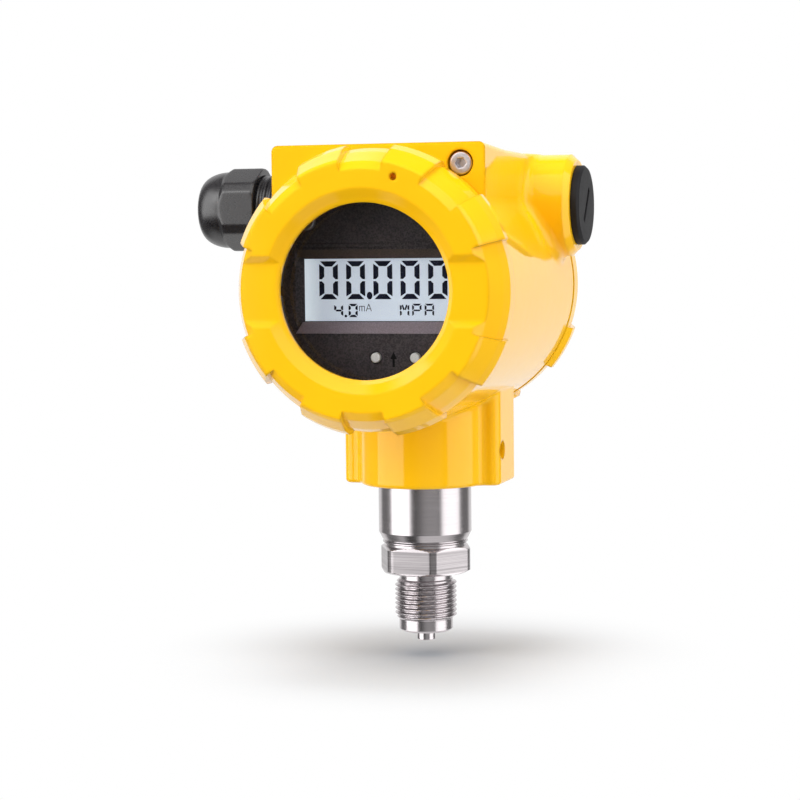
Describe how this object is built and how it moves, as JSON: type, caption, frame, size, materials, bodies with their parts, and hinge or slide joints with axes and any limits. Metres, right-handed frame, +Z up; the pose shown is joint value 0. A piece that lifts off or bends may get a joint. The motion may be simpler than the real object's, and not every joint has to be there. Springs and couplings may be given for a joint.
{
  "type": "pressure transmitter with local display",
  "caption": "Field pressure transmitter: round twin-room housing with screw covers, windowed display, cable gland, blanking plug and a threaded steel process fitting.",
  "frame": {"origin": "on the axis of the process fitting, at the mouth of its pressure port", "axes": "+Z up along the process fitting into the housing; -Y is where the display looks; -X is the side of the cable gland"},
  "size_m": [0.1306, 0.1176, 0.1585],
  "materials": {
    "enamel": "glossy yellow enamel on a die casting",
    "stainless": "turned stainless steel",
    "bright_steel": "bright screw steel",
    "black_plastic": "black moulded plastic, satin",
    "gland_nylon": "black nylon, satin",
    "plug_plastic": "dark grey plastic, satin",
    "black_rubber": "soft black rubber",
    "clear_glass": "clear flat glass",
    "lcd_glass": "grey liquid crystal panel",
    "key_plastic": "light grey plastic",
    "board": "green circuit board",
    "potting": "dark potting in a plastic cup",
    "lead_cover": "plastic sleeve",
    "terminal_plastic": "black terminal moulding",
    "brass_plate": "plated brass"
  },
  "bodies": {
    "fitting": {"process_fitting": "stainless", "cell_seal": "black_rubber", "pressure_cell": "stainless", "cell_retaining_ring": "stainless", "header_board": "board", "sensor_lead": "lead_cover", "neck_seal": "black_rubber"},
    "housing": {"housing": "enamel", "neck_set_screw": "bright_steel", "front_lock_screw": "bright_steel", "rear_lock_screw": "bright_steel", "display_bezel": "black_plastic", "lcd_panel": "lcd_glass", "display_board": "board", "key_switches": "bright_steel", "display_screws": "bright_steel", "display_standoffs": "brass_plate", "electronics_module": "potting", "module_screws": "bright_steel", "lead_socket": "lead_cover", "feedthrough": "lead_cover", "terminal_block": "terminal_plastic", "terminal_clamps": "brass_plate", "terminal_screws": "bright_steel", "terminal_block_screws": "bright_steel", "ground_washer": "brass_plate", "ground_screw": "bright_steel", "gland_washer": "black_rubber", "gland_body": "gland_nylon"},
    "front_cover_carrier": {"front_cover_seal": "black_rubber"},
    "front_cover": {"front_cover": "enamel", "window_gasket": "black_rubber", "window_glass": "clear_glass", "glass_retaining_ring": "black_plastic"},
    "rear_cover_carrier": {"rear_cover_seal": "black_rubber"},
    "rear_cover": {"rear_cover": "enamel"},
    "gland_nut_carrier": {"gland_seal": "black_rubber"},
    "gland_nut": {"gland_nut": "gland_nylon"},
    "plug_carrier": {"plug_seal": "black_rubber"},
    "plug": {"blanking_plug": "plug_plastic"},
    "key_up": {"key_up": "key_plastic"},
    "key_set": {"key_set": "key_plastic"}
  },
  "joints": [
    {"name": "housing_swivel", "type": "hinge", "parent": "fitting", "child": "housing", "pos_m": [0, 0, 0.0622], "axis": [0, 0, 1], "range_deg": [-180, 180]},
    {"name": "front_cover_travel", "type": "slide", "parent": "housing", "child": "front_cover_carrier", "axis": [0, -1, 0], "range_m": [0, 0.01]},
    {"name": "front_cover_turn", "type": "hinge", "parent": "front_cover_carrier", "child": "front_cover", "pos_m": [0, -0.0484, 0.1146], "axis": [0, -1, 0], "range_deg": [0, 1800]},
    {"name": "rear_cover_travel", "type": "slide", "parent": "housing", "child": "rear_cover_carrier", "axis": [0, 1, 0], "range_m": [0, 0.01]},
    {"name": "rear_cover_turn", "type": "hinge", "parent": "rear_cover_carrier", "child": "rear_cover", "pos_m": [0, 0.034, 0.1146], "axis": [0, 1, 0], "range_deg": [0, 1800]},
    {"name": "gland_nut_travel", "type": "slide", "parent": "housing", "child": "gland_nut_carrier", "axis": [-1, 0, 0], "range_m": [0, 0.0126]},
    {"name": "gland_nut_turn", "type": "hinge", "parent": "gland_nut_carrier", "child": "gland_nut", "pos_m": [-0.0475, 0.0165, 0.1401], "axis": [-1, 0, 0], "range_deg": [0, 2160]},
    {"name": "plug_travel", "type": "slide", "parent": "housing", "child": "plug_carrier", "axis": [1, 0, 0], "range_m": [0, 0.009]},
    {"name": "plug_turn", "type": "hinge", "parent": "plug_carrier", "child": "plug", "pos_m": [0.0475, 0.0165, 0.1401], "axis": [1, 0, 0], "range_deg": [0, 2160]},
    {"name": "key_up_press", "type": "slide", "parent": "housing", "child": "key_up", "axis": [0, 1, 0], "range_m": [0, 0.0005], "stiffness_N_per_m": 1200, "springref_m": -0.0002},
    {"name": "key_set_press", "type": "slide", "parent": "housing", "child": "key_set", "axis": [0, 1, 0], "range_m": [0, 0.0005], "stiffness_N_per_m": 1200, "springref_m": -0.0002}
  ],
  "couplings": [
    {"joint": "front_cover_travel", "follows": "front_cover_turn", "m_per_rad": 0.00031831},
    {"joint": "rear_cover_travel", "follows": "rear_cover_turn", "m_per_rad": 0.00031831},
    {"joint": "gland_nut_travel", "follows": "gland_nut_turn", "m_per_rad": 0.00033423},
    {"joint": "plug_travel", "follows": "plug_turn", "m_per_rad": 0.00023873}
  ]
}
